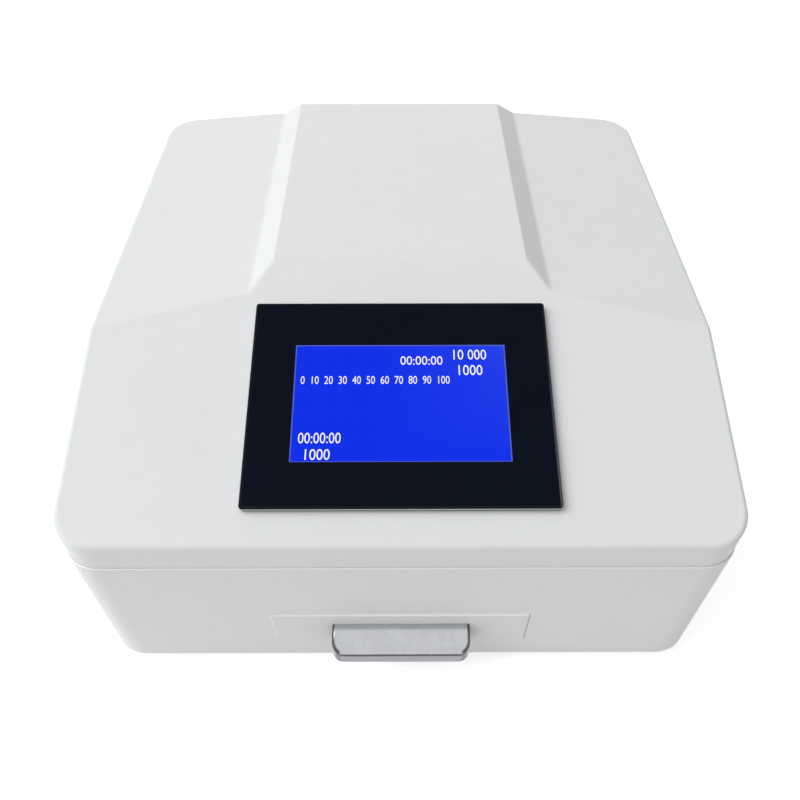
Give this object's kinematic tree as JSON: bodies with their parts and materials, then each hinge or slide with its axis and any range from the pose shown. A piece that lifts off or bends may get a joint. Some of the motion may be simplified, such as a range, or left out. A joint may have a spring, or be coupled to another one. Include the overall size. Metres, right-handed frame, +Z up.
{
  "type": "hard drive degausser",
  "caption": "Bench-top hard drive degausser: white moulded case with a raised spine, sloping touch-screen panel, and a cup-handled drawer that carries a drive into a pulse coil.",
  "frame": {"origin": "on the ground, under the middle of the whole machine's bounding box", "axes": "+Z up, +X to the right seen from the front, the drawer and panel face -Y"},
  "size_m": [0.492, 0.533, 0.25],
  "materials": {
    "cover_plastic": "satin",
    "base_plastic": "satin",
    "drawer_plastic": "satin",
    "foot_rubber": "matt",
    "zinc_steel": "satin",
    "black_screw": "satin",
    "handle_chrome": "polished",
    "gasket_foam": "matt",
    "bezel_plastic": "gloss",
    "overlay_film": "gloss",
    "screen_glass": "gloss",
    "panel_box_plastic": "matt",
    "circuit_board": "satin",
    "tray_plastic": "satin",
    "mat_rubber": "matt",
    "guide_plastic": "satin",
    "former_laminate": "satin",
    "copper_winding": "satin",
    "copper_bar": "polished",
    "capacitor_sleeve": "gloss",
    "cradle_plastic": "matt",
    "sink_aluminium": "satin",
    "module_plastic": "matt",
    "resistor_aluminium": "satin",
    "core_steel": "satin",
    "bobbin_tape": "satin",
    "fan_plastic": "satin",
    "grille_plastic": "satin",
    "inlet_plastic": "satin",
    "pin_brass": "polished",
    "switch_plastic": "satin",
    "rocker_plastic": "gloss"
  },
  "bodies": {
    "case": {"base_shell": "base_plastic", "bleeder_resistor": "resistor_aluminium", "board_standoffs": "zinc_steel", "capacitor_cradle": "cradle_plastic", "case_screws": "zinc_steel", "charger_board": "circuit_board", "coil_bolts": "zinc_steel", "coil_brackets": "zinc_steel", "coil_former": "former_laminate", "coil_winding": "copper_winding", "control_board": "circuit_board", "drawer_sensor": "module_plastic", "fan_frame": "fan_plastic", "fan_grille": "grille_plastic", "fan_screws": "black_screw", "foot_screws": "zinc_steel", "guide_strip_left": "guide_plastic", "guide_strip_right": "guide_plastic", "heat_sink": "sink_aluminium", "inlet_pins": "pin_brass", "inlet_screws": "black_screw", "negative_busbar": "copper_bar", "panel_bezel": "bezel_plastic", "panel_board": "circuit_board", "panel_box": "panel_box_plastic", "panel_clamp_screws": "zinc_steel", "panel_clamps": "zinc_steel", "panel_gasket": "gasket_foam", "positive_busbar": "copper_bar", "power_inlet": "inlet_plastic", "pulse_capacitor_1": "capacitor_sleeve", "pulse_capacitor_2": "capacitor_sleeve", "pulse_capacitor_3": "capacitor_sleeve", "pulse_capacitor_4": "capacitor_sleeve", "pulse_capacitor_5": "capacitor_sleeve", "pulse_capacitor_6": "capacitor_sleeve", "rubber_feet": "foot_rubber", "screen": "screen_glass", "sensor_post": "zinc_steel", "switch_body": "switch_plastic", "terminal_screws": "zinc_steel", "thyristor_module": "module_plastic", "top_cover": "cover_plastic", "touch_overlay": "overlay_film", "transformer_bolts": "zinc_steel", "transformer_core": "core_steel", "transformer_strap": "zinc_steel", "transformer_winding": "bobbin_tape"},
    "drawer": {"drawer_front": "drawer_plastic", "drawer_tray": "tray_plastic", "tray_mat": "mat_rubber", "stop_bar": "zinc_steel", "tray_screws": "zinc_steel", "drawer_handle": "handle_chrome", "handle_screws": "zinc_steel"},
    "fan_rotor": {"fan_rotor": "fan_plastic"},
    "power_rocker": {"rocker": "rocker_plastic"}
  },
  "joints": [
    {"name": "drawer_slide", "type": "slide", "parent": "case", "child": "drawer", "axis": [0, -1, 0], "range_m": [0, 0.14]},
    {"name": "fan_spin", "type": "hinge", "parent": "case", "child": "fan_rotor", "pos_m": [0.1535, 0.243, 0.081], "axis": [0, 1, 0], "continuous": true},
    {"name": "rocker_tilt", "type": "hinge", "parent": "case", "child": "power_rocker", "pos_m": [-0.1215, 0.2575, 0.076], "axis": [-1, 0, 0], "range_deg": [0, 20]}
  ]
}
